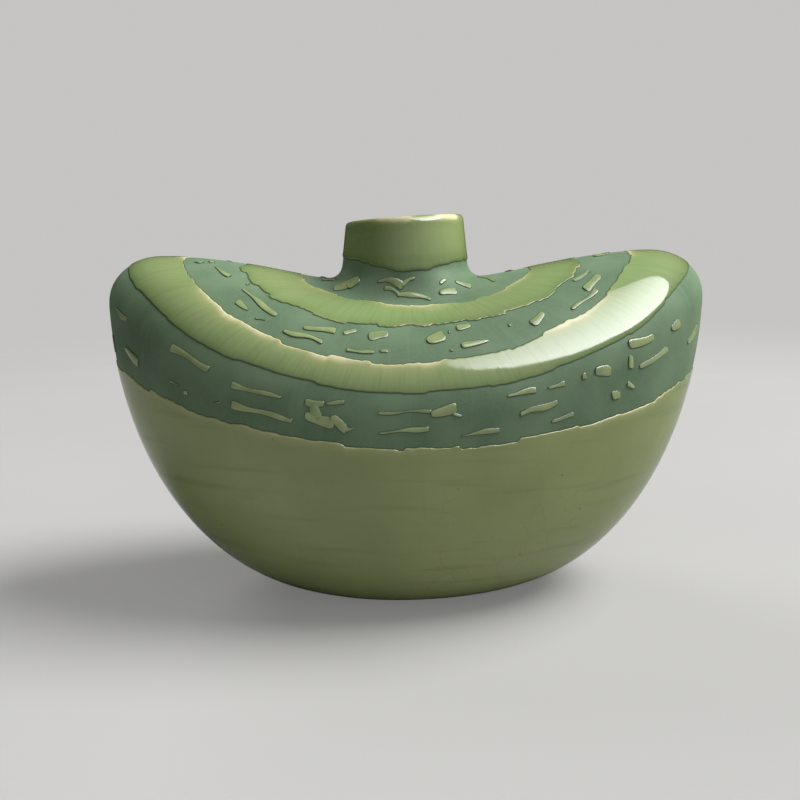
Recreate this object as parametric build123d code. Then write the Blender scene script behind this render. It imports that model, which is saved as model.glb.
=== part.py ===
from build123d import *
import math
import os

# A wide oval stoneware vase: a hull that swells from a small foot to two wings, a
# saddle-shaped shoulder between the wings and a short round neck. Four clay pieces are
# luted together, and separate coats of glaze lie on them. X runs from wing to wing, Y
# from front to back, and the origin is on the table under the middle of the foot.

# Body, measured over the light glaze
WIDTH = 320.0
DEPTH = 160.0
BOTTOM_LENGTH = 104.0
BOTTOM_DEPTH = 61.0
END_RISE = 161.0
FRONT_RISE = 104.0
WING_SPAN = 264.0
WING_RISE = 23.0
SADDLE_DROP = 17.0

# Neck, measured over the light glaze
THROAT_RADIUS = 34.0
THROAT_RISE = 12.0
FLARE_AT_ENDS = 12.0
FLARE_AT_FRONT = 8.0
COLLAR_RISE = 23.0
LIP_RADIUS = 31.3
LIP_SLOPE = 3.2
LIP_ROUND = 1.3
LIP_WALL_SHARE = 0.4

# Foot ring and the bare clay wiped clean round it
FOOT_STAND = 1.5
FOOT_LENGTH = 98.0
FOOT_DEPTH = 55.0
FOOT_WALL = 7.0
FOOT_SEAT = 1.5
WIPED_MARGIN = 1.5

# Layers
CLAY_WALL = 6.0
LIGHT_COAT = 0.9
DARK_COAT = 0.5
LINER_COAT = 0.5

# Widths of bands and stripes from the throat down, first at the ends, then at the front
NECK_BAND = (32.0, 22.0)
INNER_STRIPE = (28.0, 17.0)
MIDDLE_BAND = (30.0, 23.0)
OUTER_STRIPE = (32.0, 14.5)
OUTER_BAND = (57.0, 26.5)

# How much lower the edges of the bands run halfway between the ends and the front
BAND_SAG = 4.5

# Glaze drops on the dark bands
DROP_RISE = 0.7
DROP_LENGTH = 26.0
DROP_WIDTH = 6.0
NECK_DROP_LENGTH = 11.0
NECK_DROP_WIDTH = 5.0
OUTER_DROPS = 14
MIDDLE_DROPS = 12
NECK_DROPS = 8
DROP_ROW_SHIFT = 0.22
DROP_SHORTEST = 0.5
GOLDEN = 0.618

# Fineness of the curves and reach of the cutting surfaces
HULL_POINTS = 12
TOP_POINTS = 20
HALF_CURVES = 8
LINE_POINTS = 48
PROFILE_STEPS = 600
SMALL_STEP = 1e-3
CUT_REACH = 3.0

# Heights and half sizes that follow
bottom_z = FOOT_STAND
end_z = bottom_z + END_RISE
front_z = bottom_z + FRONT_RISE
wing_z = end_z + WING_RISE
saddle_z = wing_z - SADDLE_DROP
throat_z = saddle_z + THROAT_RISE
lip_z = throat_z + COLLAR_RISE
half_width = WIDTH / 2
half_depth = DEPTH / 2
wing_x = WING_SPAN / 2
clay_bore = THROAT_RADIUS - LIGHT_COAT - CLAY_WALL
dark_depth = LIGHT_COAT - DARK_COAT
hollow_depth = LIGHT_COAT + CLAY_WALL


def steps(count):
    """Even shares from 0 to 1."""
    return [i / count for i in range(count + 1)]


def hull_arc(bottom, widest, widest_z):
    """Quarter ellipse from the flat bottom out and up to the widest line."""
    points = []
    for u in steps(PROFILE_STEPS):
        turn = u * math.pi / 2
        across = bottom + (widest - bottom) * math.sin(turn)
        points.append((across, bottom_z + (widest_z - bottom_z) * (1 - math.cos(turn))))
    return points


def flare(start, slope):
    """Curve from the shoulder into the upright throat, tangent to both."""
    corner_z = start[1] - slope * (start[0] - THROAT_RADIUS)
    points = []
    for u in steps(PROFILE_STEPS)[1:]:
        left = (1 - u) ** 2
        across = left * start[0] + (1 - left) * THROAT_RADIUS
        points.append((across, left * start[1] + 2 * u * (1 - u) * corner_z + u * u * throat_z))
    return points


def end_top():
    """Top of the profile at the ends: wing tip, saddle and flare."""
    points = []
    for u in steps(PROFILE_STEPS):
        turn = u * math.pi / 2
        across = wing_x + (half_width - wing_x) * math.cos(turn)
        points.append((across, end_z + WING_RISE * math.sin(turn)))
    flare_x = THROAT_RADIUS + FLARE_AT_ENDS
    for u in steps(PROFILE_STEPS)[1:]:
        across = wing_x + (flare_x - wing_x) * u
        dip = SADDLE_DROP * (1 + math.cos(math.pi * across / wing_x)) / 2
        points.append((across, wing_z - dip))
    slope = SADDLE_DROP * math.pi / (2 * wing_x) * math.sin(math.pi * flare_x / wing_x)
    return points + flare(points[-1], slope)


def front_top():
    """Top of the profile at the front and back: shoulder and flare."""
    full_turn = math.acos((THROAT_RADIUS + FLARE_AT_FRONT) / half_depth)
    rise = saddle_z - front_z
    points = []
    for u in steps(PROFILE_STEPS):
        turn = u * full_turn
        points.append((half_depth * math.cos(turn), front_z + rise * math.sin(turn)))
    slope = -rise / half_depth / math.tan(full_turn)
    return points + flare(points[-1], slope)


class Profile:
    """A curve that is walked by its length, from 0 at its start to 1 at its end."""

    def __init__(self, points):
        self.points = points
        self.travel = [0.0]
        for here, there in zip(points, points[1:]):
            self.travel.append(self.travel[-1] + math.dist(here, there))
        self.length = self.travel[-1]

    def at(self, share):
        goal = share * self.length
        low = 0
        high = len(self.points) - 2
        while low < high:
            middle = (low + high + 1) // 2
            if self.travel[middle] <= goal:
                low = middle
            else:
                high = middle - 1
        here = self.points[low]
        there = self.points[low + 1]
        part = (goal - self.travel[low]) / (self.travel[low + 1] - self.travel[low])
        return tuple(p + (q - p) * part for p, q in zip(here, there))


END_HULL = Profile(hull_arc(BOTTOM_LENGTH / 2, half_width, end_z))
FRONT_HULL = Profile(hull_arc(BOTTOM_DEPTH / 2, half_depth, front_z))
END_TOP = Profile(end_top())
FRONT_TOP = Profile(front_top())


def surface(ring, angle):
    """Point on the light glaze. Ring 0 is the bottom, 1 the widest line, 2 the throat."""
    if ring <= 1:
        end_x, on_end = END_HULL.at(ring)
        front_y, on_front = FRONT_HULL.at(ring)
    else:
        end_x, on_end = END_TOP.at(ring - 1)
        front_y, on_front = FRONT_TOP.at(ring - 1)
    c = math.cos(angle)
    return Vector(end_x * c, front_y * math.sin(angle), on_front + (on_end - on_front) * c * c)


def outward(ring, angle):
    """Direction square to the glaze: straight down at the bottom, level at the throat."""
    up = surface(min(ring + SMALL_STEP, 2), angle) - surface(max(ring - SMALL_STEP, 0), angle)
    if ring == 0:
        up = Vector(up.X, up.Y, 0)
    if ring == 2:
        up = Vector(0, 0, 1)
    along = surface(ring, angle + SMALL_STEP) - surface(ring, angle - SMALL_STEP)
    return along.cross(up).normalized()


def skin_point(ring, angle, depth):
    """Point a given depth below the light glaze."""
    return surface(ring, angle) - outward(ring, angle) * depth


def meridian(angle, depth):
    """Curve from the bottom to the throat at one angle."""
    rings = steps(HULL_POINTS)[:-1] + [1 + u for u in steps(TOP_POINTS)]
    walk = [min(r, 1) * END_HULL.length + max(r - 1, 0) * END_TOP.length for r in rings]
    shares = [w / walk[-1] for w in walk]
    return Wire([Edge.make_spline([skin_point(r, angle, depth) for r in rings], parameters=shares)])


def skin(depth):
    """Back and front halves of the skin that lies a given depth below the light glaze."""
    back = Shell.make_loft([meridian(math.pi * u, depth) for u in steps(HALF_CURVES)]).face()
    return [back, mirror(back, Plane.XZ)]


def cup(outer_depth, inner_depth):
    """Closed vessel wall between two skins, with a flat bottom and an open throat."""
    outer = skin(outer_depth)
    inner = skin(inner_depth)
    floors = [Face(Wire([half.edges().sort_by(Axis.Z)[0] for half in wall])) for wall in (outer, inner)]
    rims = [Wire([half.edges().sort_by(Axis.Z)[-1] for half in wall]) for wall in (outer, inner)]
    return Solid(Shell(outer + inner + floors + [Face(rims[0], [rims[1]])]))


def ring_below(distance, top, hull):
    """Ring number at a distance below the throat, walked along a profile."""
    if distance <= top.length:
        return 2 - distance / top.length
    return 1 - (distance - top.length) / hull.length


def line_below(widths):
    """Lower edge of a stack of bands: ring numbers at the ends and the front, and the sag between."""
    at_end = ring_below(sum(w[0] for w in widths), END_TOP, END_HULL)
    at_front = ring_below(sum(w[1] for w in widths), FRONT_TOP, FRONT_HULL)
    return (at_end, at_front, 2 * BAND_SAG / (END_TOP.length + FRONT_TOP.length))


def ring_on(line, angle):
    """Ring number where a line round the body passes an angle."""
    at_end, at_front, sag = line
    return at_front + (at_end - at_front) * math.cos(angle) ** 2 - sag * math.sin(2 * angle) ** 2


def line_wire(line, depth):
    """Closed line round the body, a given depth below the light glaze."""
    points = []
    for u in steps(LINE_POINTS)[:-1]:
        angle = 2 * math.pi * u
        points.append(skin_point(ring_on(line, angle), angle, depth))
    return Wire([Edge.make_spline(points, periodic=True, parameters=steps(LINE_POINTS))])


def cut_along(wall, lines, wall_depth):
    """Pieces of a wall, from the lowest up, cut square to its skin along lines round it."""
    cutters = []
    for line in lines:
        edges = [line_wire(line, -CUT_REACH), line_wire(line, wall_depth + CUT_REACH)]
        cutters.append(Shell.make_loft(edges, ruled=True))
    pieces = wall.split(Compound(cutters), keep=Keep.ALL)
    return sorted(pieces, key=lambda piece: piece.bounding_box().min.Z)


def oval(length, depth, low, high):
    """Upright oval block between two heights."""
    return Pos(0, 0, low) * extrude(Ellipse(length / 2, depth / 2), high - low)


def foot_ring():
    top = bottom_z + LIGHT_COAT + FOOT_SEAT
    hole = oval(FOOT_LENGTH - 2 * FOOT_WALL, FOOT_DEPTH - 2 * FOOT_WALL, 0, top)
    return oval(FOOT_LENGTH, FOOT_DEPTH, 0, top) - hole


def neck_tube(shrink, bore, top_z):
    """Tapered neck above the throat, with a straight bore and a sloping rounded lip."""
    spare = 2 * COLLAR_RISE
    narrowing = (THROAT_RADIUS - LIP_RADIUS) * spare / COLLAR_RISE
    outline = Polyline(
        (bore, 0, throat_z),
        (THROAT_RADIUS - shrink, 0, throat_z),
        (THROAT_RADIUS - shrink - narrowing, 0, throat_z + spare),
        (bore, 0, throat_z + spare),
        close=True,
    )
    slope = math.radians(LIP_SLOPE)
    top_plane = Plane(origin=(0, 0, top_z), z_dir=(-math.sin(slope), 0, math.cos(slope)))
    blunt = split(revolve(make_face(outline), Axis.Z), bisect_by=top_plane, keep=Keep.BOTTOM)
    lip = blunt.faces().sort_by(Axis.Z)[-1]
    lip_wall = LIP_RADIUS - shrink - bore
    return fillet(lip.edges(), min(LIP_ROUND, LIP_WALL_SHARE * lip_wall))


def spread(share):
    """Angle for a share of the way round, so that equal shares are about equally long."""
    turn = 2 * math.pi * share
    return turn + math.sin(2 * turn) / 6


def drops(layer, upper, lower, count, length, width):
    """Long beads of glaze in two staggered rows along a dark band."""
    beads = []
    for i in range(count):
        angle = spread((i + 0.5) / count)
        row = DROP_ROW_SHIFT if i % 2 else -DROP_ROW_SHIFT
        middle = (ring_on(upper, angle) + ring_on(lower, angle)) / 2
        ring = middle + row * (ring_on(upper, angle) - ring_on(lower, angle))
        along = surface(ring, angle + SMALL_STEP) - surface(ring, angle - SMALL_STEP)
        seat = Plane(origin=surface(ring, angle), x_dir=along, z_dir=outward(ring, angle))
        stretch = DROP_SHORTEST + (1 - DROP_SHORTEST) * (i * GOLDEN % 1)
        outline = seat * Ellipse(length * stretch / 2, width / 2)
        beads += (extrude(outline, CUT_REACH, both=True) & layer).solids()
    return Compound(beads)


def build():
    """Every piece of the vase by name."""
    stack = [NECK_BAND, INNER_STRIPE, MIDDLE_BAND, OUTER_STRIPE, OUTER_BAND]
    lines = [line_below(stack[:n + 1]) for n in range(len(stack))]
    neck_line, inner_line, middle_line, stripe_line, outer_line = lines
    throat_line = (2, 2, 0)
    seam_line = (1, 1, 0)

    lower_bowl, shoulder_cover = cut_along(cup(LIGHT_COAT, hollow_depth), [seam_line], hollow_depth)
    light = cut_along(cup(0, LIGHT_COAT), lines, LIGHT_COAT)
    dark = cut_along(cup(dark_depth, LIGHT_COAT), lines, LIGHT_COAT)
    bead_layer = cup(dark_depth - DROP_RISE, dark_depth)
    foot = foot_ring()
    wiped = oval(FOOT_LENGTH + 2 * WIPED_MARGIN, FOOT_DEPTH + 2 * WIPED_MARGIN, 0, bottom_z + LIGHT_COAT)
    collar = neck_tube(LIGHT_COAT, clay_bore, lip_z - LIGHT_COAT)

    return {
        "foot_ring": foot,
        "lower_bowl": lower_bowl - foot,
        "shoulder_cover": shoulder_cover,
        "neck_collar": collar,
        "bowl_glaze": light[0] - wiped,
        "outer_band": dark[1],
        "outer_stripe": light[2],
        "middle_band": dark[3],
        "inner_stripe": light[4],
        "neck_band": dark[5],
        "neck_glaze": neck_tube(0, clay_bore - LINER_COAT, lip_z) - collar,
        "liner_glaze": cup(hollow_depth, hollow_depth + LINER_COAT),
        "outer_band_drops": drops(bead_layer, stripe_line, outer_line, OUTER_DROPS, DROP_LENGTH, DROP_WIDTH),
        "middle_band_drops": drops(bead_layer, inner_line, middle_line, MIDDLE_DROPS, DROP_LENGTH, DROP_WIDTH),
        "neck_band_drops": drops(
            bead_layer, throat_line, neck_line, NECK_DROPS, NECK_DROP_LENGTH, NECK_DROP_WIDTH
        ),
    }


os.makedirs("parts", exist_ok=True)
for name, piece in build().items():
    export_step(piece, f"parts/{name}.step")
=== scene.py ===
import math

import bpy
import numpy as np
from mathutils import Matrix, Vector


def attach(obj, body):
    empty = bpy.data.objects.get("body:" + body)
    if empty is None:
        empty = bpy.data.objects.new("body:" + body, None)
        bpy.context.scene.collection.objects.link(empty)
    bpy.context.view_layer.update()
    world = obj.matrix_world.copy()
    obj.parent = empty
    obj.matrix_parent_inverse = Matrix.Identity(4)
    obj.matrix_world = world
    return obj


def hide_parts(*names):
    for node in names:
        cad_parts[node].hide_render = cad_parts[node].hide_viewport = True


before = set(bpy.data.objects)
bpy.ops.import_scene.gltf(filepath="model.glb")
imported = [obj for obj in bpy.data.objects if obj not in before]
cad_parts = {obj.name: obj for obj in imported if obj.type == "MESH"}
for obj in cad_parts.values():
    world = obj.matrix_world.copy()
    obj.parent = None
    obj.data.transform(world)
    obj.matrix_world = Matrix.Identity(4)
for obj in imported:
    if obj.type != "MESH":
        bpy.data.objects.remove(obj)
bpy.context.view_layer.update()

# Body and neck in metres, the same sizes as the solids
HALF_WIDTH = 0.160
HALF_DEPTH = 0.080
BOTTOM_HALF_LENGTH = 0.052
BOTTOM_HALF_DEPTH = 0.0305
WIPED_MARGIN = 0.0015
BOTTOM_Z = 0.0015
END_Z = 0.1625
FRONT_Z = 0.1055
WING_X = 0.132
WING_Z = 0.1855
SADDLE_Z = 0.1685
THROAT_Z = 0.1805
THROAT_RADIUS = 0.034
FLARE_AT_ENDS = 0.012
FLARE_AT_FRONT = 0.008
LIP_Z = 0.2035
LIP_RADIUS = 0.0313
LIP_SLOPE = math.tan(math.radians(3.2))
LIP_ROUND = 0.0018
BORE_RADIUS = 0.0266

# Glaze coats: how thick, how far the dark one lies below the light one, and the light one's rolled edge
COAT = 0.00088
DARK_STEP = 0.0004
EDGE_DROP = 0.0005
EDGE_ROLL = 0.0008
EDGE_BULGE = 0.00016

# Slight unevenness of the body: height, the ring above which it ends, and two waves, each with its
# turns round the body, their start, its rises up the body and their start
HAND_WAVE = 0.00022
CALM_RING = 2.0
CALM_REACH = 0.3
LONG_WAVE = (3, 1.0, 6.9, 0.5)
SHORT_WAVE = (7, 2.1, 12.9, 1.3)
SHORT_WAVE_SHARE = 0.4

# Lines where two glazes meet: distance below the throat at the ends and at the front,
# extra on the right, extra halfway between the front and the ends, and how torn the line is
NECK_TOP = (-0.0020, 0.0042, 0.0012, 0.0, 0.35)
NECK_LOW = (0.0321, 0.0219, 0.0059, 0.0048, 0.9)
MIDDLE_HIGH = (0.0602, 0.0392, 0.0032, 0.0079, 1.3)
MIDDLE_LOW = (0.0902, 0.0619, 0.0010, 0.0045, 1.0)
OUTER_HIGH = (0.1223, 0.0765, 0.0023, 0.0043, 0.7)
OUTER_LOW = (0.1791, 0.1028, 0.0035, 0.0019, 1.1)

# Torn lines: height of slow waves, fine waves, long steps and short steps, and for each the
# fewest and most beats round the body and how many waves are added up
SLOW_WAVE = 0.00045
FINE_WAVE = 0.00007
LONG_STEP = 0.00062
SHORT_STEP = 0.00016
STEP_SHARPNESS = 9
SLOW_BEATS = (4, 16, 6)
FINE_BEATS = (60, 200, 16)
LONG_STEP_BEATS = (5, 24, 6)
SHORT_STEP_BEATS = (24, 70, 8)

# Where the light glaze runs thin below its top edge, has a pale line along its bottom edge, partly thin
# glaze and partly painted highlight of the rolled edge, and gathers above that: strength and reach at
# the top, strength of the bottom line, strength and reach of the gathering, and then how olive its colour is
BOWL_EDGES = (0.75, 0.0036, 0.0, 0.30, 0.0030, 0.9)
STRIPE_EDGES = (1.1, 0.0046, 0.5, 0.75, 0.0040, 0.0)
INNER_EDGES = (0.95, 0.0036, 0.95, 0.55, 0.0040, 0.0)
NECK_EDGES = (1.0, 0.0014, 0.0, 0.85, 0.0050, 0.5)
THIN_AND_HIGHLIGHT_LINE_REACH = 0.0017
RIM_REACH = 0.0004

# Painted shade on one side of the neck, its glaze darkened where the light falls off: strength and direction
NECK_PAINTED_SHADE = 0.4
NECK_PAINTED_SHADE_SIDE = math.radians(205)

# How the thin edges come and go round the body: beats as above, mean, swing and least strength
TOP_PATCHES = ((2, 9, 4), 0.75, 0.4, 0.25)
LOW_PATCHES = ((5, 16, 4), 0.5, 0.5, 0.0)

# Numbers that start the random draws of the edges
BOWL_SEED = 11
STRIPE_SEED = 12
INNER_SEED = 13
PLAIN_SEED = 0

# Meshes: columns round the body, rows across the coats and lip, and steps of the profiles
COLUMNS = 1200
EVEN_COLUMNS = 1 / 6
EDGE_ROWS = np.array([0.0, 0.00008, 0.00022, 0.00042, 0.00065, 0.00095, 0.0014, 0.0021, 0.0032])
ROW_STEP = 0.0026
UNDER_ROWS = 10
LIP_ROWS = 11
BORE_ROWS = 8
PROFILE_STEPS = 800
PROFILE_GRID = 0.0001
SOFT_REACH = 60
SMALL_TURN = 0.002

# Camera, read from the photo's outline; the frame is 800 pixels wide and high
FRAME_PIXELS = 800
FOCAL_PIXELS = 800
SENSOR_MM = 36
CAMERA_PLACE = (-0.00365, -0.4401, 0.1851)
CAMERA_PITCH = math.radians(10.38)
CAMERA_ROLL = math.radians(0.80)
CAMERA_NEAR = 0.01

# Grid of places on the front that are looked up by pixel, and how squarely they must face the camera
SIGHT_LOWEST_RING = 0.4
SIGHT_HIGHEST_RING = 2.2
SIGHT_RINGS = 700
SIGHT_ANGLES = 1000
LEAST_FACING = 0.05

# Glaze drops on the front, read in the photo's pixels: left end, right end, width at each end
OUTER_DROPS = (
    ((115, 309), (127, 319), 4, 5), ((170, 347), (209, 369), 8, 6), ((183, 391), (188, 393), 4, 4),
    ((112, 334), (115, 352), 3, 4), ((124, 349), (138, 363), 5, 8), ((169, 381), (178, 385), 2, 2),
    ((230, 385), (281, 398), 7, 3), ((213, 403), (221, 403), 2, 2), ((231, 404), (293, 421), 8, 4),
    ((305, 402), (325, 403), 7, 8), ((315, 401), (319, 419), 11, 13), ((304, 416), (335, 421), 12, 12),
    ((329, 418), (347, 431), 11, 9), ((343, 430), (354, 429), 5, 2), ((326, 403), (345, 403), 4, 4),
    ((377, 414), (432, 411), 3, 3), ((378, 433), (430, 429), 2, 6), ((430, 413), (457, 408), 7, 10),
    ((453, 413), (462, 417), 3, 2), ((461, 436), (501, 430), 2, 6), ((507, 396), (537, 390), 3, 6),
    ((548, 388), (566, 383), 3, 6), ((520, 415), (559, 402), 6, 5), ((551, 422), (575, 414), 2, 6),
    ((582, 378), (587, 376), 6, 7), ((595, 374), (612, 372), 12, 12), ((612, 397), (621, 393), 7, 7),
    ((628, 383), (635, 389), 8, 3), ((630, 346), (654, 335), 8, 9), ((632, 355), (631, 369), 5, 7),
    ((640, 368), (669, 349), 3, 8), ((672, 329), (681, 321), 4, 9), ((688, 343), (698, 325), 3, 7),
)
MIDDLE_DROPS = (
    ((197, 263), (203, 261), 6, 5), ((209, 262), (215, 262), 3, 3), ((215, 267), (231, 276), 3, 5),
    ((246, 283), (249, 284), 3, 3), ((243, 288), (277, 315), 3, 7), ((237, 300), (248, 310), 9, 2),
    ((255, 317), (265, 320), 2, 1), ((303, 326), (336, 331), 4, 8), ((283, 330), (323, 341), 5, 5),
    ((343, 333), (357, 330), 5, 3), ((368, 336), (389, 335), 9, 8), ((346, 350), (374, 352), 4, 3),
    ((380, 351), (388, 350), 4, 3), ((426, 340), (444, 333), 7, 11), ((448, 331), (451, 331), 3, 3),
    ((456, 327), (471, 325), 5, 4), ((450, 349), (454, 349), 3, 3), ((461, 345), (489, 340), 8, 2),
    ((508, 325), (511, 324), 4, 4), ((531, 324), (543, 312), 8, 7), ((574, 281), (588, 270), 3, 5),
    ((584, 289), (601, 275), 10, 8), ((571, 309), (597, 289), 3, 5), ((594, 256), (605, 254), 4, 4),
)
NECK_DROPS = (
    ((322, 279), (336, 279), 3, 4), ((333, 288), (352, 284), 5, 7), ((346, 284), (360, 278), 8, 6),
    ((377, 282), (403, 287), 4, 8), ((397, 288), (415, 279), 5, 4), ((384, 287), (400, 296), 4, 4),
    ((397, 296), (431, 300), 5, 4), ((441, 284), (446, 279), 4, 5), ((440, 294), (457, 290), 5, 7),
    ((455, 281), (472, 286), 3, 6), ((477, 276), (495, 281), 3, 4),
)

# Drops on the back, strewn by number: count, longest, widest; then their place in their share of
# the back, the heights of their two rows in the band, how far they stray from these, and the least
# shares of the largest width and length
BACK_OUTER = (26, 0.027, 0.0050)
BACK_MIDDLE = (22, 0.020, 0.0045)
BACK_NECK = (9, 0.016, 0.0048)
STREWN_SPREAD = (0.1, 0.9)
STREWN_ROWS = (0.3, 0.68)
STREWN_STRAY = 0.1
STREWN_THINNEST = 0.4
DROP_SHORTEST = 0.2

# Shape of one drop: height, depth below the skin, half width at full height, added border, how square
# its ends and how flat its top are, lean to one side, waves along its sides, dark outline, and its mesh
DROP_HEIGHT = 0.00055
DROP_SINK = 0.00015
DROP_FULL = 0.0018
DROP_BORDER = 0.00015
DROP_SQUARENESS = 2.6
DROP_FLATNESS = 2.5
DROP_TILT = 0.45
DROP_MOST_BEATS = 9.0
DROP_WOBBLE = 0.2
DROP_OUTLINE = 0.0007
DROP_STATIONS = 22
DROP_ROUND = 20

# Number that starts the drops' random draws, and how much a stroke on slanting skin may be widened
DROP_SEED = 40
MOST_SLANT = 2.2

# Colours, linear
LEAF = (0.212, 0.302, 0.116)
OLIVE = (0.231, 0.299, 0.124)
SHADE = (0.216, 0.261, 0.093)
PALE_SHADE = (0.281, 0.323, 0.126)
PALE_LEAF = (0.280, 0.340, 0.150)
CREAM = (0.680, 0.640, 0.390)
HALO = (0.330, 0.355, 0.145)
DEEP = (0.080, 0.130, 0.034)
CRAZE = (0.105, 0.130, 0.046)
SEA = (0.098, 0.158, 0.091)
PALE_SEA = (0.146, 0.216, 0.130)
DEEP_SEA = (0.024, 0.042, 0.026)
BEAD = (0.215, 0.278, 0.122)
CLAY = (0.430, 0.310, 0.190)
PALE_CLAY = (0.560, 0.430, 0.290)
IRON = (0.130, 0.075, 0.040)
FLOOR = (0.255, 0.252, 0.246)
PALE_FLOOR = (0.280, 0.277, 0.270)

# Finish of each material: refraction or shine, and the range of its roughness
GLAZE_IOR = 1.58
LINER_IOR = 1.52
SATIN_SHINE = 0.18
GLOSS_ROUGHNESS = (0.05, 0.11)
SATIN_ROUGHNESS = (0.46, 0.60)
CLAY_ROUGHNESS = (0.75, 0.95)
FLOOR_ROUGHNESS = (0.55, 0.70)

# Parts of a cloudy texture's range: a clear one and a soft one
CLEAR = (0.35, 0.65)
SOFT = (0.3, 0.7)

# What shows of a texture or value: the part of its range, and how strongly at the start and the end
PALE_STREAK = (0.5, 0.75, 0.0, 0.4)
DEEP_STREAK = (0.3, 0.48, 0.18, 0.0)
CRACK = (0.0, 0.02, 0.24, 0.0)
CRAZED_PATCH = (0.5, 0.64)
# Painted reflection of floor boards, as level darker streaks on the bowl
PAINTED_FLOOR_REFLECTION = (0.52, 0.75, 0.0, 0.3)
WANDER = (0.3, 0.7, 0.7, 1.1)
THIN_HALO = (0.10, 0.60, 0.0, 0.85)
THIN_CREAM = (0.40, 0.95, 0.0, 0.95)
LIGHT_RIM = (0.4, 1.0, 0.0, 0.5)
PINHOLE = (0.018, 0.035, 0.75, 0.0)
DROP_RIM = (0.25, 0.85, 0.9, 0.0)
BRUSHED = (0.5, 0.75, 0.0, 0.5)
GRAIN = (0.35, 0.75, 0.0, 0.35)
DARK_RIM = (0.1, 0.9, 0.0, 0.85)
SPECK = (0.08, 0.2, 0.8, 0.0)

# Flow of the light and the dark glaze, in waves per radian round the body and per metre up its skin,
# and of the drops, the liner and the painted floor reflection on the bowl, in waves per metre along each axis
GLOSS_FLOW = (96, 40)
SATIN_FLOW = (32, 30)
DROP_FLOW = (420, 420, 24)
LINER_FLOW = (520, 520, 16)
FLOOR_REFLECTION_WAVES = (14, 14, 160)

# Studio: floor, soft light that is brightest from one direction, and softboxes by azimuth, height,
# distance, size and power, one of them dimmer towards its top
FLOOR_REACH = 4
FLOOR_FADE = (0.5, 1.9)
FLOOR_LIFT = 0.55
FLOOR_SHINE = 0.05
LIGHT_AIM = (0, 0, 0.12)
SKY_COLOUR = (0.97, 0.98, 1.0, 1)
SKY_AIM = (0.60, -0.72, 0.35)
SKY_LOW = 0.03
SKY_HIGH = 0.54
SKY_SPREAD = (-0.2, 1.0)
BACKDROP_COLOUR = (0.56, 0.555, 0.545, 1)
KEY_BOX = (94, 52, 6.0, (3.8, 3.8), 690)
FILL_BOX = (222, 35, 6.0, (4.0, 4.0), 170)
WINDOW_BOX = (53, 52, 1.0, (1.02, 0.84), 24)
WINDOW_BOTTOM = 1.25
WINDOW_TOP = 0.15


def lengths(points):
    """Distance walked along a line of points."""
    steps = np.hypot(*np.diff(points, axis=0).T)
    return np.concatenate([[0.0], np.cumsum(steps)])


def softened(values):
    """The values with a moving average, whose two ends stay where they are."""
    window = np.hanning(2 * SOFT_REACH + 1)
    before = 2 * values[0] - values[SOFT_REACH:0:-1]
    after = 2 * values[-1] - values[-2:-SOFT_REACH - 2:-1]
    return np.convolve(np.concatenate([before, values, after]), window / window.sum(), "valid")


# Runs from 0 to 1 along each piece of a profile
RUN = np.linspace(0, 1, PROFILE_STEPS)
QUARTER = RUN * math.pi / 2


def hull_line(bottom, widest, height):
    """Outline from the wiped edge under the body, round and up to the widest line."""
    across = bottom + (widest - bottom) * np.sin(QUARTER)
    up = BOTTOM_Z + (height - BOTTOM_Z) * (1 - np.cos(QUARTER))
    wiped = np.array([[bottom - WIPED_MARGIN, BOTTOM_Z]])
    return np.vstack([wiped, np.column_stack([across, up])])


def flare_line(start, slope):
    """Outline from the shoulder up into the upright throat."""
    bend = start[1] - slope * (start[0] - THROAT_RADIUS)
    first = (1 - RUN) ** 2
    across = first * start[0] + (1 - first) * THROAT_RADIUS
    up = first * start[1] + 2 * RUN * (1 - RUN) * bend + RUN ** 2 * THROAT_Z
    return np.column_stack([across, up])[1:]


def end_top():
    """Outline over a wing, along the saddle and up to the throat."""
    wing_across = WING_X + (HALF_WIDTH - WING_X) * np.cos(QUARTER)
    wing = np.column_stack([wing_across, END_Z + (WING_Z - END_Z) * np.sin(QUARTER)])
    foot = THROAT_RADIUS + FLARE_AT_ENDS
    along = WING_X + (foot - WING_X) * RUN
    dip = (WING_Z - SADDLE_Z) / 2
    saddle = np.column_stack([along, WING_Z - dip * (1 + np.cos(math.pi * along / WING_X))])
    slope = dip * math.pi / WING_X * math.sin(math.pi * foot / WING_X)
    return np.vstack([wing, saddle[1:], flare_line(saddle[-1], slope)])


def front_top():
    """Outline over the front shoulder and up to the throat."""
    turn = math.acos((THROAT_RADIUS + FLARE_AT_FRONT) / HALF_DEPTH)
    rise = SADDLE_Z - FRONT_Z
    shoulder = np.column_stack([HALF_DEPTH * np.cos(turn * RUN), FRONT_Z + rise * np.sin(turn * RUN)])
    slope = -rise / HALF_DEPTH / math.tan(turn)
    return np.vstack([shoulder, flare_line(shoulder[-1], slope)])


def neck_line():
    """Outline up the neck to the lip."""
    across = THROAT_RADIUS + (LIP_RADIUS - THROAT_RADIUS) * RUN
    return np.column_stack([across, THROAT_Z + (LIP_Z - THROAT_Z) * RUN])


class Profile:
    """One outline of the body: ring 0 is the foot, 1 the widest line, 2 the throat, 3 the lip."""

    def __init__(self, *lines):
        walked = [lengths(line)[-1] for line in lines]
        self.marks = np.concatenate([[0.0], np.cumsum(walked)])
        points = np.vstack([lines[0]] + [line[1:] for line in lines[1:]])
        far = lengths(points)
        self.grid = np.arange(0, far[-1], PROFILE_GRID)
        self.across = softened(np.interp(self.grid, far, points[:, 0]))
        self.height = softened(np.interp(self.grid, far, points[:, 1]))

    def at(self, ring):
        """Distance from the axis and height of a ring."""
        far = np.interp(ring, range(len(self.marks)), self.marks)
        return np.interp(far, self.grid, self.across), np.interp(far, self.grid, self.height)


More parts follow.
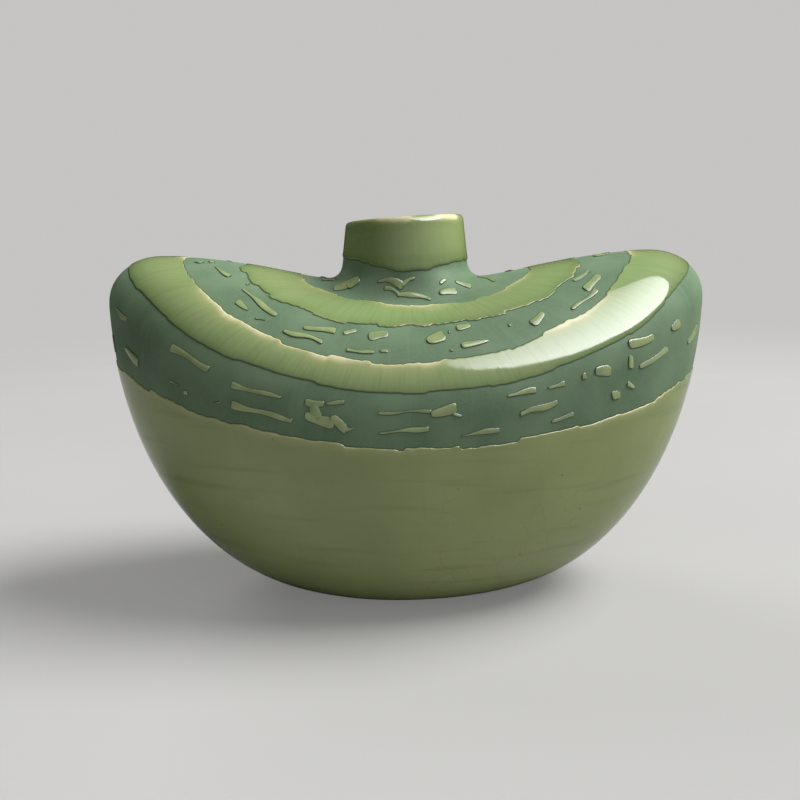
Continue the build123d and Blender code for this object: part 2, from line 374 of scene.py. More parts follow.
END = Profile(hull_line(BOTTOM_HALF_LENGTH, HALF_WIDTH, END_Z), end_top(), neck_line())
FRONT = Profile(hull_line(BOTTOM_HALF_DEPTH, HALF_DEPTH, FRONT_Z), front_top(), neck_line())


def between(front, end, angle):
    """A value that is one thing at the front and back, another at the ends."""
    return front + (end - front) * np.cos(angle) ** 2


def arc_of(ring, angle):
    """Distance up the body's skin from the foot to a ring."""
    marks = [between(FRONT.marks[i], END.marks[i], angle) for i in range(len(END.marks))]
    whole = np.clip(np.floor(ring), 0, len(marks) - 2)
    low = np.choose(whole.astype(int), marks[:-1])
    high = np.choose(whole.astype(int), marks[1:])
    return low + (high - low) * (ring - whole)


def ring_of(arc, angle):
    """Ring at a distance up the body's skin."""
    foot, wide, throat, lip = [between(FRONT.marks[i], END.marks[i], angle) for i in range(4)]
    hull = (arc - foot) / (wide - foot)
    top = 1 + (arc - wide) / (throat - wide)
    neck = 2 + (arc - throat) / (lip - throat)
    return np.where(arc < wide, hull, np.where(arc < throat, top, neck))


def surface(ring, angle):
    """Points of the even skin."""
    end_across, end_height = END.at(ring)
    front_across, front_height = FRONT.at(ring)
    x = end_across * np.cos(angle)
    y = front_across * np.sin(angle)
    z = between(front_height, end_height, angle) + LIP_SLOPE * x * np.clip(ring - 2, 0, 1)
    return np.stack([x, y, z], -1)


def normal(ring, angle):
    """Outward direction of the skin."""
    up = surface(ring + SMALL_TURN, angle) - surface(ring - SMALL_TURN, angle)
    round_about = surface(ring, angle + SMALL_TURN) - surface(ring, angle - SMALL_TURN)
    out = np.cross(round_about, up)
    return out / np.linalg.norm(out, axis=-1, keepdims=True)


def wave(shape, ring, angle):
    """One wave round and up the body."""
    turns, turn_start, rises, rise_start = shape
    return np.sin(turns * angle + turn_start) * np.sin(rises * ring + rise_start)


def hand_wave(ring, angle):
    """Slight unevenness of a body built by hand."""
    both = wave(LONG_WAVE, ring, angle) + SHORT_WAVE_SHARE * wave(SHORT_WAVE, ring, angle)
    calm_neck = np.clip((CALM_RING - ring) / CALM_REACH, 0, 1)
    return HAND_WAVE * both * calm_neck


def skin(arc, angle, lift):
    """Points at a distance up the skin, lifted off it."""
    ring = ring_of(arc, angle)
    raised = lift + hand_wave(ring, angle)
    return surface(ring, angle) + normal(ring, angle) * np.expand_dims(raised, -1)


def series(rng, angle, lowest, highest, count):
    """Even sum of waves round the body, about one high."""
    total = np.zeros_like(angle)
    for beat in rng.integers(lowest, highest, count):
        total += np.sin(beat * angle + rng.uniform(0, 2 * math.pi))
    return total / math.sqrt(count / 2)


def ragged(angle, seed):
    """How far a glaze line strays from its smooth course."""
    rng = np.random.default_rng(seed)
    slow = SLOW_WAVE * series(rng, angle, *SLOW_BEATS)
    fine = FINE_WAVE * series(rng, angle, *FINE_BEATS)
    long_steps = LONG_STEP * np.tanh(STEP_SHARPNESS * series(rng, angle, *LONG_STEP_BEATS))
    short_steps = SHORT_STEP * np.tanh(STEP_SHARPNESS * series(rng, angle, *SHORT_STEP_BEATS))
    return slow + fine + long_steps + short_steps


def ring_below(distance, profile):
    """Ring of a point at a distance below the throat along one profile."""
    foot, wide, throat, lip = profile.marks
    if distance < 0:
        return 2 - distance / (lip - throat)
    if distance < throat - wide:
        return 2 - distance / (throat - wide)
    return 1 - (distance - throat + wide) / (wide - foot)


def glaze_line(line, angle, seed):
    """Distance up the skin to a line where two glazes meet."""
    at_end, at_front, right, halfway, torn = line
    ring = between(ring_below(at_front, FRONT), ring_below(at_end, END), angle)
    stray = right * np.cos(angle) + halfway * np.sin(2 * angle) ** 2
    return arc_of(ring, angle) - stray + torn * ragged(angle, seed)


def make_mesh(name, points, faces, **values):
    """Smooth mesh object with named values on its points."""
    mesh = bpy.data.meshes.new(name)
    mesh.from_pydata(points.tolist(), [], list(faces))
    for key, value in values.items():
        mesh.attributes.new(key, "FLOAT", "POINT").data.foreach_set("value", value.ravel())
    mesh.shade_smooth()
    piece = bpy.data.objects.new(name, mesh)
    bpy.context.scene.collection.objects.link(piece)
    return piece


def tube_faces(rows, columns):
    """Quads of rows of points that close both ways."""
    row, column = np.meshgrid(np.arange(rows), np.arange(columns), indexing="ij")
    next_row = (row + 1) % rows
    next_column = (column + 1) % columns
    corners = [(row, column), (row, next_column), (next_row, next_column), (next_row, column)]
    return np.stack([a * columns + b for a, b in corners], -1).reshape(-1, 4)


def dress(piece, node, material):
    """Gives a piece its finish, ties it to the body and hides the node that it stands for."""
    piece.data.materials.append(material)
    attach(piece, "root")
    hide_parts(node)


# Columns are spread so that they are about evenly far apart
TURN = np.linspace(0, 2 * math.pi, COLUMNS, endpoint=False)
ANGLE = TURN + EVEN_COLUMNS * np.sin(2 * TURN)


def edge_rows(low, high):
    """Rows between two lines, close together along both."""
    count = max(int(np.mean(high - low) / ROW_STEP), 3)
    first = low + EDGE_ROWS[:, None]
    last = high - EDGE_ROWS[::-1, None]
    share = np.linspace(0, 1, count + 1)[1:-1, None]
    middle = first[-1] + (last[0] - first[-1]) * share
    return np.vstack([first, middle, last])


def rolled(distance):
    """Lift of a light coat by the distance from its edge."""
    near = 1 - np.clip(distance / EDGE_ROLL, 0, 1)
    round_over = EDGE_DROP * (np.sqrt(1 - near ** 2) - 1)
    swell = EDGE_BULGE * np.exp(-((distance - 2 * EDGE_ROLL) / EDGE_ROLL) ** 2)
    return round_over + swell


def patches(rng, beats, mean, swing, least):
    """Strength that comes and goes round the body."""
    return np.clip(mean + swing * series(rng, ANGLE, *beats), least, 1)


def edge_values(above, below, edges, seed):
    """How thin, gathered, near its edge and olive the glaze is, from 0 to 1, and where it lies; the thin
    value includes a pale bottom line that is partly painted highlight.
    """
    thin, thin_reach, thin_and_painted_highlight_line, pool_and_painted_shade, pool_reach, shade = edges
    rng = np.random.default_rng(seed)
    top = thin * patches(rng, *TOP_PATCHES) * np.exp(-above / thin_reach)
    # Pale line along the bottom edge: partly thin glaze, partly painted highlight of the rolled edge
    bottom = thin_and_painted_highlight_line * patches(rng, *LOW_PATCHES) * np.exp(-below / THIN_AND_HIGHLIGHT_LINE_REACH)
    return {
        "thin": np.maximum(top, bottom),
        "pool_and_painted_shade": pool_and_painted_shade * np.exp(-below / pool_reach),
        "rim": np.exp(-np.minimum(above, below) / RIM_REACH),
        "shade": np.full_like(above, shade),
        "east": np.broadcast_to(np.cos(TURN), above.shape),
        "north": np.broadcast_to(np.sin(TURN), above.shape),
        "up": below,
    }


def light_coat(name, material, low, high, edges, seed):
    """One ring of light glaze between two lines, with rolled edges and closed underneath."""
    rows = edge_rows(low, high)
    under = np.linspace(high, low, UNDER_ROWS)
    lift = np.minimum(rolled(rows - low), rolled(high - rows))
    return coat(name, material, rows, under, lift, low, high, edges, seed)


def dark_coat(name, material, low, high):
    """One ring of dark glaze between two lines, lower than the light one."""
    rows = edge_rows(low, high)
    under = np.linspace(high, low, UNDER_ROWS)
    lift = np.full_like(rows, -DARK_STEP)
    return coat(name, material, rows, under, lift, low, high, STRIPE_EDGES, PLAIN_SEED)


def coat(name, material, rows, under, lift, low, high, edges, seed):
    """Mesh of a ring of glaze from its rows above and underneath."""
    points = np.vstack([skin(rows, ANGLE, lift), skin(under, ANGLE, np.full_like(under, -COAT))])
    every = np.vstack([rows, under])
    values = edge_values(high - every, every - low, edges, seed)
    piece = make_mesh(name, points.reshape(-1, 3), tube_faces(len(points), COLUMNS), **values)
    dress(piece, name.removesuffix("_visual"), material)
    return piece


def neck_points(radius, height):
    """Ring of points about the neck, sloping with the lip."""
    x = radius * np.cos(ANGLE)
    share = np.clip((height - THROAT_Z) / (LIP_Z - THROAT_Z), 0, 1)
    return np.stack([x, radius * np.sin(ANGLE), height + LIP_SLOPE * x * share], -1)


def mouth_rings():
    """Rings over the lip, down the bore and up behind it, and how far each is from the lip."""
    start = LIP_Z - LIP_ROUND
    middle = (LIP_RADIUS + BORE_RADIUS) / 2
    half = (LIP_RADIUS - BORE_RADIUS) / 2
    arch = np.linspace(0, math.pi, LIP_ROWS + 2)[1:]
    lip = [neck_points(middle + half * math.cos(a), start + LIP_ROUND * math.sin(a)) for a in arch]
    depth = np.linspace(start, THROAT_Z, BORE_ROWS + 1)[1:]
    bore = [neck_points(BORE_RADIUS, height) for height in depth]
    hidden = [neck_points(BORE_RADIUS + COAT / 2, height) for height in (THROAT_Z, start - COAT)]
    from_lip = np.concatenate([np.zeros(len(lip)), start - depth, np.full(len(hidden), ROW_STEP)])
    return np.stack(lip + bore + hidden), from_lip


def neck_coat(name, material, low):
    """Light glaze up the neck, over the lip and down the bore."""
    shoulder = between(FRONT.marks[-1], END.marks[-1], ANGLE) - LIP_ROUND
    rows = edge_rows(low, shoulder + EDGE_ROWS[-1])[:-len(EDGE_ROWS)]
    rows = np.vstack([rows, shoulder])
    mouth, from_lip = mouth_rings()
    back = np.linspace(shoulder - COAT, low, UNDER_ROWS)
    outside = skin(rows, ANGLE, rolled(rows - low))
    under = skin(back, ANGLE, np.full_like(back, -COAT))
    points = np.concatenate([outside, mouth, under])
    rest = np.append(from_lip, np.full(len(back), ROW_STEP))
    above = np.vstack([shoulder - rows, np.repeat(rest[:, None], COLUMNS, 1)])
    far = np.full((len(rest), COLUMNS), LIP_Z - THROAT_Z)
    values = edge_values(above, np.vstack([rows - low, far]), NECK_EDGES, PLAIN_SEED)
    values["rim"] = np.vstack([np.exp(-(rows - low) / RIM_REACH), 0 * far])
    # Painted shade: the neck's glaze is darkened on its left side, where it stands in shade
    values["pool_and_painted_shade"] = np.maximum(values["pool_and_painted_shade"], NECK_PAINTED_SHADE * np.clip(np.cos(ANGLE - NECK_PAINTED_SHADE_SIDE), 0, 1))
    piece = make_mesh(name, points.reshape(-1, 3), tube_faces(len(points), COLUMNS), **values)
    dress(piece, name.removesuffix("_visual"), material)
    return piece


def make_camera():
    """Camera at the photo's view."""
    camera = bpy.data.objects.new("camera", bpy.data.cameras.new("camera"))
    camera.data.sensor_width = SENSOR_MM
    camera.data.lens = SENSOR_MM * FOCAL_PIXELS / FRAME_PIXELS
    camera.data.clip_start = CAMERA_NEAR
    tilt = Matrix.Rotation(math.pi / 2 - CAMERA_PITCH, 4, "X")
    roll = Matrix.Rotation(-CAMERA_ROLL, 4, "Z")
    camera.matrix_world = Matrix.Translation(CAMERA_PLACE) @ tilt @ roll
    bpy.context.scene.collection.objects.link(camera)
    bpy.context.scene.camera = camera
    return camera


class Sight:
    """Finds the place on the skin that the camera sees at a pixel."""

    def __init__(self, camera):
        rings = np.linspace(SIGHT_LOWEST_RING, SIGHT_HIGHEST_RING, SIGHT_RINGS)
        angles = np.linspace(math.pi, 2 * math.pi, SIGHT_ANGLES)
        ring, angle = np.meshgrid(rings, angles)
        points = surface(ring, angle)
        view = np.array(CAMERA_PLACE) - points
        far = np.linalg.norm(view, axis=-1, keepdims=True)
        facing = np.sum(normal(ring, angle) * view / far, -1)
        inverse = np.array(camera.matrix_world.inverted())
        local = points @ inverse[:3, :3].T + inverse[:3, 3]
        seen = facing > LEAST_FACING
        self.depth = -local[..., 2][seen]
        self.x = FRAME_PIXELS / 2 + FOCAL_PIXELS * local[..., 0][seen] / self.depth
        self.y = FRAME_PIXELS / 2 - FOCAL_PIXELS * local[..., 1][seen] / self.depth
        self.angle = angle[seen]
        self.arc = arc_of(ring, angle)[seen]
        self.point = points[seen]
        self.out = normal(ring, angle)[seen]
        self.view = (view / far)[seen]

    def nearest(self, pixel):
        """Number of the place nearest to a pixel."""
        return np.argmin((self.x - pixel[0]) ** 2 + (self.y - pixel[1]) ** 2)

    def stroke(self, left, right, pixels):
        """Two places as angle and distance up the skin, and the real widths of a stroke there."""
        ends = [self.nearest(left), self.nearest(right)]
        along = self.point[ends[1]] - self.point[ends[0]]
        widths = []
        for end, wide in zip(ends, pixels):
            across = np.cross(self.out[end], along)
            slant = np.dot(across, self.view[end]) / np.linalg.norm(across)
            seen_share = max(math.sqrt(1 - slant ** 2), 1 / MOST_SLANT)
            widths.append(wide * self.depth[end] / FOCAL_PIXELS / seen_share)
        places = [(self.angle[end], self.arc[end]) for end in ends]
        return places[0], places[1], widths


def bead_path(start, end):
    """Shares of the way between two places, the skin there, the ways out and across, and the base's lift."""
    share = (1 - np.cos(np.linspace(0, math.pi, DROP_STATIONS + 2))) / 2
    angle = start[0] + (end[0] - start[0]) * share
    ring = ring_of(start[1] + (end[1] - start[1]) * share, angle)
    centre = surface(ring, angle)
    out = normal(ring, angle)
    across = np.cross(out, np.gradient(centre, axis=0))
    across /= np.linalg.norm(across, axis=1, keepdims=True)
    base = hand_wave(ring, angle) - DARK_STEP
    return share, centre, out, across, base


def bead_sides(share, long, widths, lean):
    """Half width of a bead along its way, and how far it swings to the side."""
    cap = min(max(widths) / 2 / long, 0.5)
    near = 1 - np.clip(np.minimum(share, 1 - share) / cap, 0, 1)
    half = (widths[0] + (widths[1] - widths[0]) * share) / 2 + DROP_BORDER
    beat = min(long / max(widths), DROP_MOST_BEATS)
    half = half * (1 + DROP_WOBBLE * np.sin(beat * share + lean[0]))
    half = half * (1 - near ** DROP_SQUARENESS) ** (1 / DROP_SQUARENESS)
    side = DROP_WOBBLE * min(widths) * np.sin(beat * share + lean[1])
    return half, side


def drop_shape(start, end, widths, rng):
    """Points, faces and middle shares of one closed bead between two places on the skin."""
    share, centre, out, across, base = bead_path(start, end)
    long = np.linalg.norm(np.diff(centre, axis=0), axis=1).sum()
    lean = rng.uniform(0, 2 * math.pi, 2)
    tilt = rng.uniform(-DROP_TILT, DROP_TILT)
    half, side = bead_sides(share, long, widths, lean)
    tall = DROP_HEIGHT * np.sqrt(np.clip(half / DROP_FULL, 0, 1))
    turn = np.linspace(0, 2 * math.pi, DROP_ROUND, endpoint=False)
    dome = np.sqrt(1 - np.abs(np.cos(turn)) ** DROP_FLATNESS) * (1 + tilt * np.cos(turn)) * (np.sin(turn) > 0)
    sink = np.clip(np.sin(turn), -1, 0) * DROP_SINK
    reach = side[:, None] + half[:, None] * np.cos(turn)
    lift = base[:, None] + tall[:, None] * dome + sink
    points = centre[:, None] + reach[..., None] * across[:, None] + lift[..., None] * out[:, None]
    poles = centre + side[:, None] * across + base[:, None] * out
    points = np.vstack([points[1:-1].reshape(-1, 3), poles[[0, -1]]])
    from_side = np.outer(half, 1 - np.abs(np.cos(turn)))
    from_end = long * np.minimum(share, 1 - share)[:, None]
    middle = np.clip(np.minimum(from_side, from_end) / DROP_OUTLINE, 0, 1)[1:-1]
    return points, drop_faces(), np.append(middle.ravel(), [0, 0])


def drop_faces():
    """Faces of a bead: rings of quads closed by a fan at each end."""
    faces = []
    first_pole = DROP_STATIONS * DROP_ROUND
    last_ring = first_pole - DROP_ROUND
    for j in range(DROP_ROUND):
        n = (j + 1) % DROP_ROUND
        for ring in range(0, last_ring, DROP_ROUND):
            faces.append((ring + j, ring + n, ring + DROP_ROUND + n, ring + DROP_ROUND + j))
        faces.append((first_pole, n, j))
        faces.append((first_pole + 1, last_ring + j, last_ring + n))
    return faces


def seen_drops(strokes, sight):
    """Places and widths of the drops on the front."""
    for left, right, left_width, right_width in strokes:
        yield sight.stroke(left, right, (left_width, right_width))


def strewn_drops(amounts, low, high, seeds, rng):
    """Places and widths of drops strewn over the back between two glaze lines."""
    count, longest, widest = amounts
    for k in range(count):
        turn = math.pi * (k + rng.uniform(*STREWN_SPREAD)) / count
        angle = turn + EVEN_COLUMNS * math.sin(2 * turn)
        share = STREWN_ROWS[k % 2] + rng.uniform(-STREWN_STRAY, STREWN_STRAY)
        long = longest * rng.uniform(DROP_SHORTEST, 1)
        wide = widest * rng.uniform(STREWN_THINNEST, 1, 2)
        reach = long / 2 / np.hypot(HALF_WIDTH * math.sin(angle), HALF_DEPTH * math.cos(angle))
        places = []
        for side in (-1, 1):
            spot = np.array([angle + side * reach])
            bottom = glaze_line(low, spot, seeds[0])
            top = glaze_line(high, spot, seeds[1])
            places.append((spot[0], (bottom + (top - bottom) * share)[0]))
        yield places[0], places[1], wide


def drops(name, material, beads, rng):
    """All drops on one dark band, as one piece."""
    points = []
    faces = []
    middles = []
    total = 0
    for start, end, widths in beads:
        spots, sides, middle = drop_shape(start, end, widths, rng)
        points.append(spots)
        faces += [[total + corner for corner in side] for side in sides]
        middles.append(middle)
        total += len(spots)
    piece = make_mesh(name, np.vstack(points), faces, middle=np.concatenate(middles))
    dress(piece, name.removesuffix("_visual"), material)
    return piece


class Shader:
    """One material, built from textures laid out in metres."""

    def __init__(self, name, **settings):
        self.material = bpy.data.materials.new(name)
        self.material.use_nodes = True
        self.nodes = self.material.node_tree.nodes
        self.links = self.material.node_tree.links
        self.surface = self.nodes["Principled BSDF"]
        for socket, value in settings.items():
            self.surface.inputs[socket.replace("_", " ")].default_value = value
        self.place = self.nodes.new("ShaderNodeTexCoord").outputs["Object"]

    def put(self, socket, value):
        """Sets a socket from a colour, a number or another node."""
        if isinstance(value, bpy.types.NodeSocket):
            self.links.new(value, socket)
        elif isinstance(value, tuple):
            socket.default_value = (*value, 1)
        else:
            socket.default_value = value

    def stretched(self, x, y, z, place=None):
        """Texture place with its own scale along each axis."""
        node = self.nodes.new("ShaderNodeMapping")
        node.inputs["Scale"].default_value = (x, y, z)
        self.links.new(place or self.place, node.inputs["Vector"])
        return node.outputs["Vector"]

    def along_coat(self, round_scale, up_scale):
        """Texture place that runs round the body and up its skin."""
        node = self.nodes.new("ShaderNodeCombineXYZ")
        for axis, name in (("X", "east"), ("Y", "north"), ("Z", "up")):
            self.links.new(self.value(name), node.inputs[axis])
        return self.stretched(round_scale, round_scale, up_scale, node.outputs["Vector"])

    def noise(self, scale, detail=3.0, place=None):
        """Cloudy texture."""
        node = self.nodes.new("ShaderNodeTexNoise")
        node.inputs["Scale"].default_value = scale
        node.inputs["Detail"].default_value = detail
        self.links.new(place or self.place, node.inputs["Vector"])
        return node.outputs["Fac"]

    def warped(self, scale, amount):
        """Texture place pushed about by a cloudy texture."""
        cloud = self.nodes.new("ShaderNodeTexNoise")
        cloud.inputs["Scale"].default_value = scale
        self.links.new(self.place, cloud.inputs["Vector"])
        push = self.nodes.new("ShaderNodeVectorMath")
        push.operation = "MULTIPLY_ADD"
        self.links.new(cloud.outputs["Color"], push.inputs[0])
        push.inputs[1].default_value = (amount, amount, amount)
        self.links.new(self.place, push.inputs[2])
        return push.outputs["Vector"]

    def cells(self, scale, feature, place=None):
        """Distance to the edges or to the middles of random cells."""
        node = self.nodes.new("ShaderNodeTexVoronoi")
        node.feature = feature
        node.inputs["Scale"].default_value = scale
        self.links.new(place or self.place, node.inputs["Vector"])
        return node.outputs["Distance"]

    def value(self, name):
        """Value kept on the mesh's points."""
        node = self.nodes.new("ShaderNodeAttribute")
        node.attribute_name = name
        return node.outputs["Fac"]

    def span(self, source, low, high, to_low=0.0, to_high=1.0):
        """Part of a value's range, eased in and out."""
        node = self.nodes.new("ShaderNodeMapRange")
        node.interpolation_type = "SMOOTHSTEP"
        self.links.new(source, node.inputs["Value"])
        for key, number in (("From Min", low), ("From Max", high), ("To Min", to_low), ("To Max", to_high)):
            node.inputs[key].default_value = number
        return node.outputs["Result"]

    def product(self, first, second):
        """Two values multiplied."""
        node = self.nodes.new("ShaderNodeMath")
        node.operation = "MULTIPLY"
        self.put(node.inputs[0], first)
        self.put(node.inputs[1], second)
        return node.outputs[0]

    def blend(self, share, first, second):
        """Colour between two others."""
        node = self.nodes.new("ShaderNodeMix")
        node.data_type = "RGBA"
        self.put(node.inputs[0], share)
        self.put(node.inputs[6], first)
        self.put(node.inputs[7], second)
        return node.outputs[2]

    def bump(self, height, strength, distance, under=None):
        """Fine relief on the surface."""
        node = self.nodes.new("ShaderNodeBump")
        node.inputs["Strength"].default_value = strength
        node.inputs["Distance"].default_value = distance
        self.links.new(height, node.inputs["Height"])
        if under:
            self.links.new(under, node.inputs["Normal"])
        return node.outputs["Normal"]

    def done(self, colour, roughness, relief):
        """Joins colour, roughness and relief to the surface."""
        self.links.new(colour, self.surface.inputs["Base Color"])
        self.links.new(roughness, self.surface.inputs["Roughness"])
        self.links.new(relief, self.surface.inputs["Normal"])
        return self.material

    def faded(self, start, end):
        """Lets the surface fade out from one distance to another round the middle."""
        far = self.nodes.new("ShaderNodeVectorMath")
        far.operation = "LENGTH"
        self.links.new(self.place, far.inputs[0])
        mix = self.nodes.new("ShaderNodeMixShader")
        self.links.new(self.span(far.outputs["Value"], start, end), mix.inputs["Fac"])
        self.links.new(self.surface.outputs[0], mix.inputs[1])
        self.links.new(self.nodes.new("ShaderNodeBsdfTransparent").outputs[0], mix.inputs[2])
        self.links.new(mix.outputs[0], self.nodes["Material Output"].inputs["Surface"])
        return self.material


def glossy_base(shader, flow):
    """Cloudy green of the light glaze, streaked along its flow."""
    cloud = shader.span(shader.noise(scale=16, detail=4), *CLEAR)
    streak = shader.noise(scale=1, detail=3, place=flow)
    colour = shader.blend(cloud, LEAF, OLIVE)
    colour = shader.blend(shader.span(streak, *PALE_STREAK), colour, PALE_LEAF)
    return shader.blend(shader.span(streak, *DEEP_STREAK), colour, DEEP)


def crazed(shader, colour):
    """Colour with hairline cracks in patches."""
    bent = shader.warped(scale=45, amount=0.016)
    edges = shader.cells(scale=75, feature="DISTANCE_TO_EDGE", place=bent)
    crack = shader.span(edges, *CRACK)
    patch = shader.span(shader.noise(scale=12, detail=2), *CRAZED_PATCH)
    return shader.blend(shader.product(crack, patch), colour, CRAZE)


def glossy_finish(shader, colour, flow):
    """Gloss of the light glaze, with a slight ripple and fine drags along its flow."""
    ripple = shader.bump(shader.noise(scale=70, detail=2), strength=0.12, distance=0.0006)
    drag = shader.noise(scale=1, detail=2, place=flow)
    relief = shader.bump(drag, strength=0.05, distance=0.0002, under=ripple)
    roughness = shader.span(shader.noise(scale=45, detail=3), *SOFT, *GLOSS_ROUGHNESS)
    return shader.done(colour, roughness, relief)


def light_glaze():
    """Light glaze: cream where it runs thin along the top, deep where it gathers below, and darkened on the
    neck's left by painted shade.
    """
    shader = Shader("light_glaze", IOR=GLAZE_IOR)
    flow = shader.along_coat(*GLOSS_FLOW)
    mottle = shader.span(shader.noise(scale=11, detail=6), *CLEAR)
    shaded = shader.blend(mottle, SHADE, PALE_SHADE)
    # Painted reflection: level darker streaks on the bowl stand in for floor boards mirrored in its glaze
    floor_reflection = shader.noise(scale=1, detail=4, place=shader.stretched(*FLOOR_REFLECTION_WAVES))
    shaded = shader.blend(shader.span(floor_reflection, *PAINTED_FLOOR_REFLECTION), shaded, DEEP)
    colour = crazed(shader, shader.blend(shader.value("shade"), glossy_base(shader, flow), shaded))
    wander = shader.span(shader.noise(scale=55, detail=3), *WANDER)
    # The thin value also holds the pale bottom line, which is partly painted highlight
    thin = shader.product(shader.value("thin"), wander)
    colour = shader.blend(shader.span(thin, *THIN_HALO), colour, HALO)
    colour = shader.blend(shader.span(thin, *THIN_CREAM), colour, CREAM)
    # Darker where the glaze gathers along bottom edges; on the neck's left this is painted shade
    colour = shader.blend(shader.value("pool_and_painted_shade"), colour, DEEP)
    colour = shader.blend(shader.span(shader.value("rim"), *LIGHT_RIM), colour, DEEP)
    pinhole = shader.span(shader.cells(scale=48, feature="F1"), *PINHOLE)
    colour = shader.blend(pinhole, colour, CRAZE)
    return glossy_finish(shader, colour, flow)


def drop_glaze():
    """Light glaze in thick beads with dark outlines."""
    shader = Shader("drop_glaze", IOR=GLAZE_IOR)
    cloud = shader.span(shader.noise(scale=110, detail=3), *CLEAR)
    colour = shader.blend(cloud, BEAD, PALE_LEAF)
    outline = shader.span(shader.value("middle"), *DROP_RIM)
    colour = shader.blend(outline, colour, DEEP_SEA)
    return glossy_finish(shader, colour, shader.stretched(*DROP_FLOW))


def dark_glaze():
    """Dark satin glaze, mottled and faintly grained."""
    shader = Shader("dark_glaze", Specular_IOR_Level=SATIN_SHINE)
    cloud = shader.span(shader.noise(scale=38, detail=5), *SOFT)
    colour = shader.blend(cloud, SEA, PALE_SEA)
    brush = shader.noise(scale=1, detail=3, place=shader.along_coat(*SATIN_FLOW))
    colour = shader.blend(shader.span(brush, *BRUSHED), colour, PALE_SEA)
    grain = shader.span(shader.noise(scale=900, detail=2), *GRAIN)
    colour = shader.blend(grain, colour, PALE_SEA)
    colour = shader.blend(shader.span(shader.value("rim"), *DARK_RIM), colour, DEEP_SEA)
    roughness = shader.span(shader.noise(scale=60, detail=4), *SOFT, *SATIN_ROUGHNESS)
    ripple = shader.bump(shader.noise(scale=80, detail=3), strength=0.15, distance=0.0006)
    tooth = shader.noise(scale=1100, detail=2)
    return shader.done(colour, roughness, shader.bump(tooth, strength=0.12, distance=0.0001, under=ripple))


def bare_clay():
    """Unglazed stoneware with iron specks."""
    shader = Shader("bare_clay")
    colour = shader.blend(shader.span(shader.noise(scale=40, detail=5), *SOFT), CLAY, PALE_CLAY)
    specks = shader.cells(scale=420, feature="F1")
    colour = shader.blend(shader.span(specks, *SPECK), colour, IRON)
    roughness = shader.span(shader.noise(scale=300, detail=3), *SOFT, *CLAY_ROUGHNESS)
    relief = shader.bump(shader.noise(scale=900, detail=4), strength=0.4, distance=0.0003)
    return shader.done(colour, roughness, relief)


def liner_glaze():
    """The light glaze on the inside, where it was poured in."""
    shader = Shader("liner_glaze", IOR=LINER_IOR)
    flow = shader.stretched(*LINER_FLOW)
    return glossy_finish(shader, crazed(shader, glossy_base(shader, flow)), flow)


def floor_paint():
    """Pale matt floor."""
    shader = Shader("floor_paint", Specular_IOR_Level=FLOOR_SHINE)
    shader.put(shader.surface.inputs["Emission Color"], PALE_FLOOR)
    straight = shader.nodes.new("ShaderNodeLightPath").outputs["Is Camera Ray"]
    shader.put(shader.surface.inputs["Emission Strength"], shader.product(straight, FLOOR_LIFT))
    colour = shader.blend(shader.noise(scale=3, detail=4), FLOOR, PALE_FLOOR)
    roughness = shader.span(shader.noise(scale=8, detail=3), *SOFT, *FLOOR_ROUGHNESS)
    relief = shader.bump(shader.noise(scale=60, detail=3), strength=0.05, distance=0.001)
    shader.done(colour, roughness, relief)
    return shader.faded(*FLOOR_FADE)


def paint_node(name, material):
    """Gives a solid that stays in view its material."""
    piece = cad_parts[name]
    if not piece.material_slots:
        piece.data.materials.append(material)
    for place in piece.material_slots:
        place.material = material


def make_floor():
    """Wide floor under the vase."""
    corners = np.array([[-1, -1, 0], [1, -1, 0], [1, 1, 0], [-1, 1, 0]]) * FLOOR_REACH
    floor = make_mesh("floor", corners, np.array([[0, 1, 2, 3]]))
    floor.data.materials.append(floor_paint())


def make_softbox(name, azimuth, height, distance, size, power):
    """Soft oval light that faces the vase; the azimuth turns from the front to the right."""
    turn = math.radians(azimuth)
    rise = math.radians(height)
    aim = Vector((math.sin(turn) * math.cos(rise), -math.cos(turn) * math.cos(rise), math.sin(rise)))
    lamp = bpy.data.lights.new(name, "AREA")
    lamp.shape = "ELLIPSE"
    lamp.size, lamp.size_y = size
    lamp.energy = power
    box = bpy.data.objects.new(name, lamp)
    turned = aim.to_track_quat("Z", "Y").to_matrix().to_4x4()
    box.matrix_world = Matrix.Translation(Vector(LIGHT_AIM) + aim * distance) @ turned
    box.visible_camera = False
    bpy.context.scene.collection.objects.link(box)
    return box


def dim_top(box):
    """Makes a softbox darker towards its top."""
    box.data.use_nodes = True
    nodes = box.data.node_tree.nodes
    links = box.data.node_tree.links
    split = nodes.new("ShaderNodeSeparateXYZ")
    links.new(nodes.new("ShaderNodeNewGeometry").outputs["Parametric"], split.inputs[0])
    grade = nodes.new("ShaderNodeMapRange")
    grade.inputs["To Min"].default_value = WINDOW_BOTTOM
    grade.inputs["To Max"].default_value = WINDOW_TOP
    links.new(split.outputs["Y"], grade.inputs["Value"])
    links.new(grade.outputs["Result"], nodes["Emission"].inputs["Strength"])


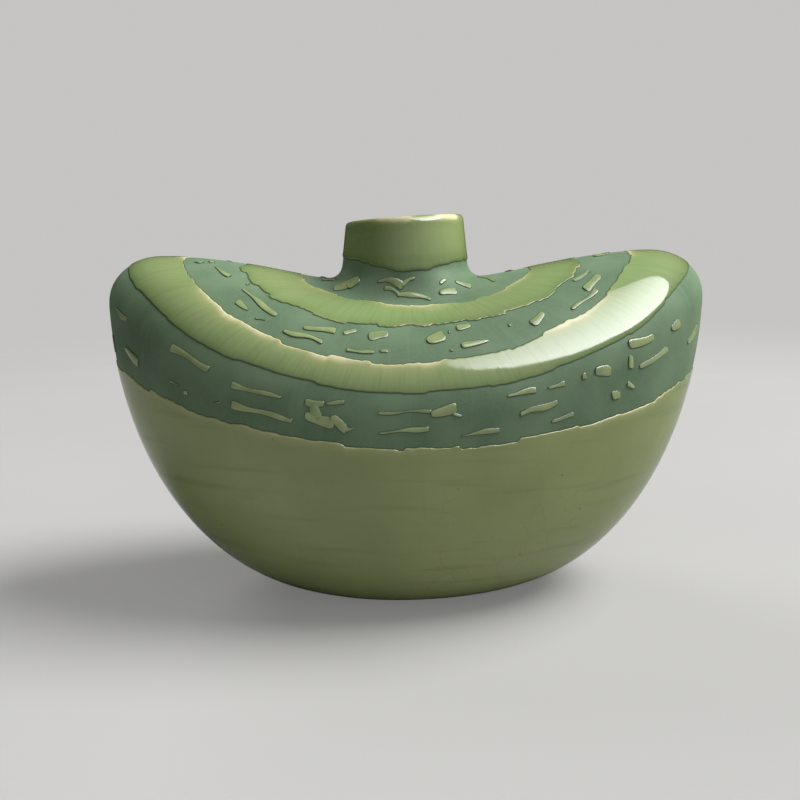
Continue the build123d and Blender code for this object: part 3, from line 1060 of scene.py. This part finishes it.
def make_sky():
    """Pale backdrop, and soft light that is brightest from one direction."""
    world = bpy.data.worlds.new("studio")
    world.use_nodes = True
    nodes = world.node_tree.nodes
    links = world.node_tree.links
    towards = nodes.new("ShaderNodeVectorMath")
    towards.operation = "DOT_PRODUCT"
    towards.inputs[1].default_value = Vector(SKY_AIM).normalized()
    links.new(nodes.new("ShaderNodeTexCoord").outputs["Generated"], towards.inputs[0])
    glow = nodes.new("ShaderNodeMapRange")
    glow.interpolation_type = "SMOOTHSTEP"
    links.new(towards.outputs["Value"], glow.inputs["Value"])
    for key, number in zip(("From Min", "From Max", "To Min", "To Max"), (*SKY_SPREAD, SKY_LOW, SKY_HIGH)):
        glow.inputs[key].default_value = number
    light = nodes["Background"]
    light.inputs["Color"].default_value = SKY_COLOUR
    links.new(glow.outputs["Result"], light.inputs["Strength"])
    back = nodes.new("ShaderNodeBackground")
    back.inputs["Color"].default_value = BACKDROP_COLOUR
    choice = nodes.new("ShaderNodeMixShader")
    links.new(nodes.new("ShaderNodeLightPath").outputs["Is Camera Ray"], choice.inputs["Fac"])
    links.new(light.outputs[0], choice.inputs[1])
    links.new(back.outputs[0], choice.inputs[2])
    links.new(choice.outputs[0], nodes["World Output"].inputs["Surface"])
    bpy.context.scene.world = world
    bpy.context.scene.view_settings.view_transform = "Standard"


def make_vase():
    """All visible pieces of the vase."""
    light = light_glaze()
    dark = dark_glaze()
    bead = drop_glaze()
    lines = {"neck_top": NECK_TOP, "neck_low": NECK_LOW, "middle_high": MIDDLE_HIGH}
    lines.update({"middle_low": MIDDLE_LOW, "outer_high": OUTER_HIGH, "outer_low": OUTER_LOW})
    seeds = {name: place + 1 for place, name in enumerate(lines)}
    arcs = {name: glaze_line(line, ANGLE, seeds[name]) for name, line in lines.items()}
    light_coat("bowl_glaze_visual", light, np.zeros(COLUMNS), arcs["outer_low"], BOWL_EDGES, BOWL_SEED)
    dark_coat("outer_band_visual", dark, arcs["outer_low"], arcs["outer_high"])
    light_coat(
        "outer_stripe_visual", light, arcs["outer_high"], arcs["middle_low"], STRIPE_EDGES, STRIPE_SEED
    )
    dark_coat("middle_band_visual", dark, arcs["middle_low"], arcs["middle_high"])
    light_coat("inner_stripe_visual", light, arcs["middle_high"], arcs["neck_low"], INNER_EDGES, INNER_SEED)
    dark_coat("neck_band_visual", dark, arcs["neck_low"], arcs["neck_top"])
    neck_coat("neck_glaze_visual", light, arcs["neck_top"])
    sight = Sight(make_camera())
    bands = (
        ("outer_band", OUTER_DROPS, BACK_OUTER, "outer_low", "outer_high"),
        ("middle_band", MIDDLE_DROPS, BACK_MIDDLE, "middle_low", "middle_high"),
        ("neck_band", NECK_DROPS, BACK_NECK, "neck_low", "neck_top"),
    )
    rng = np.random.default_rng(DROP_SEED)
    for name, strokes, amounts, low, high in bands:
        beads = list(seen_drops(strokes, sight))
        beads += strewn_drops(amounts, lines[low], lines[high], (seeds[low], seeds[high]), rng)
        drops(name + "_drops_visual", bead, beads, rng)
    clay = bare_clay()
    for name in ("foot_ring", "lower_bowl", "shoulder_cover", "neck_collar"):
        paint_node(name, clay)
    paint_node("liner_glaze", liner_glaze())


make_vase()
make_floor()
make_sky()
make_softbox("key_box", *KEY_BOX).visible_glossy = False
make_softbox("fill_box", *FILL_BOX).visible_glossy = False
window = make_softbox("window_box", *WINDOW_BOX)
window.visible_diffuse = False
dim_top(window)
bpy.context.view_layer.update()
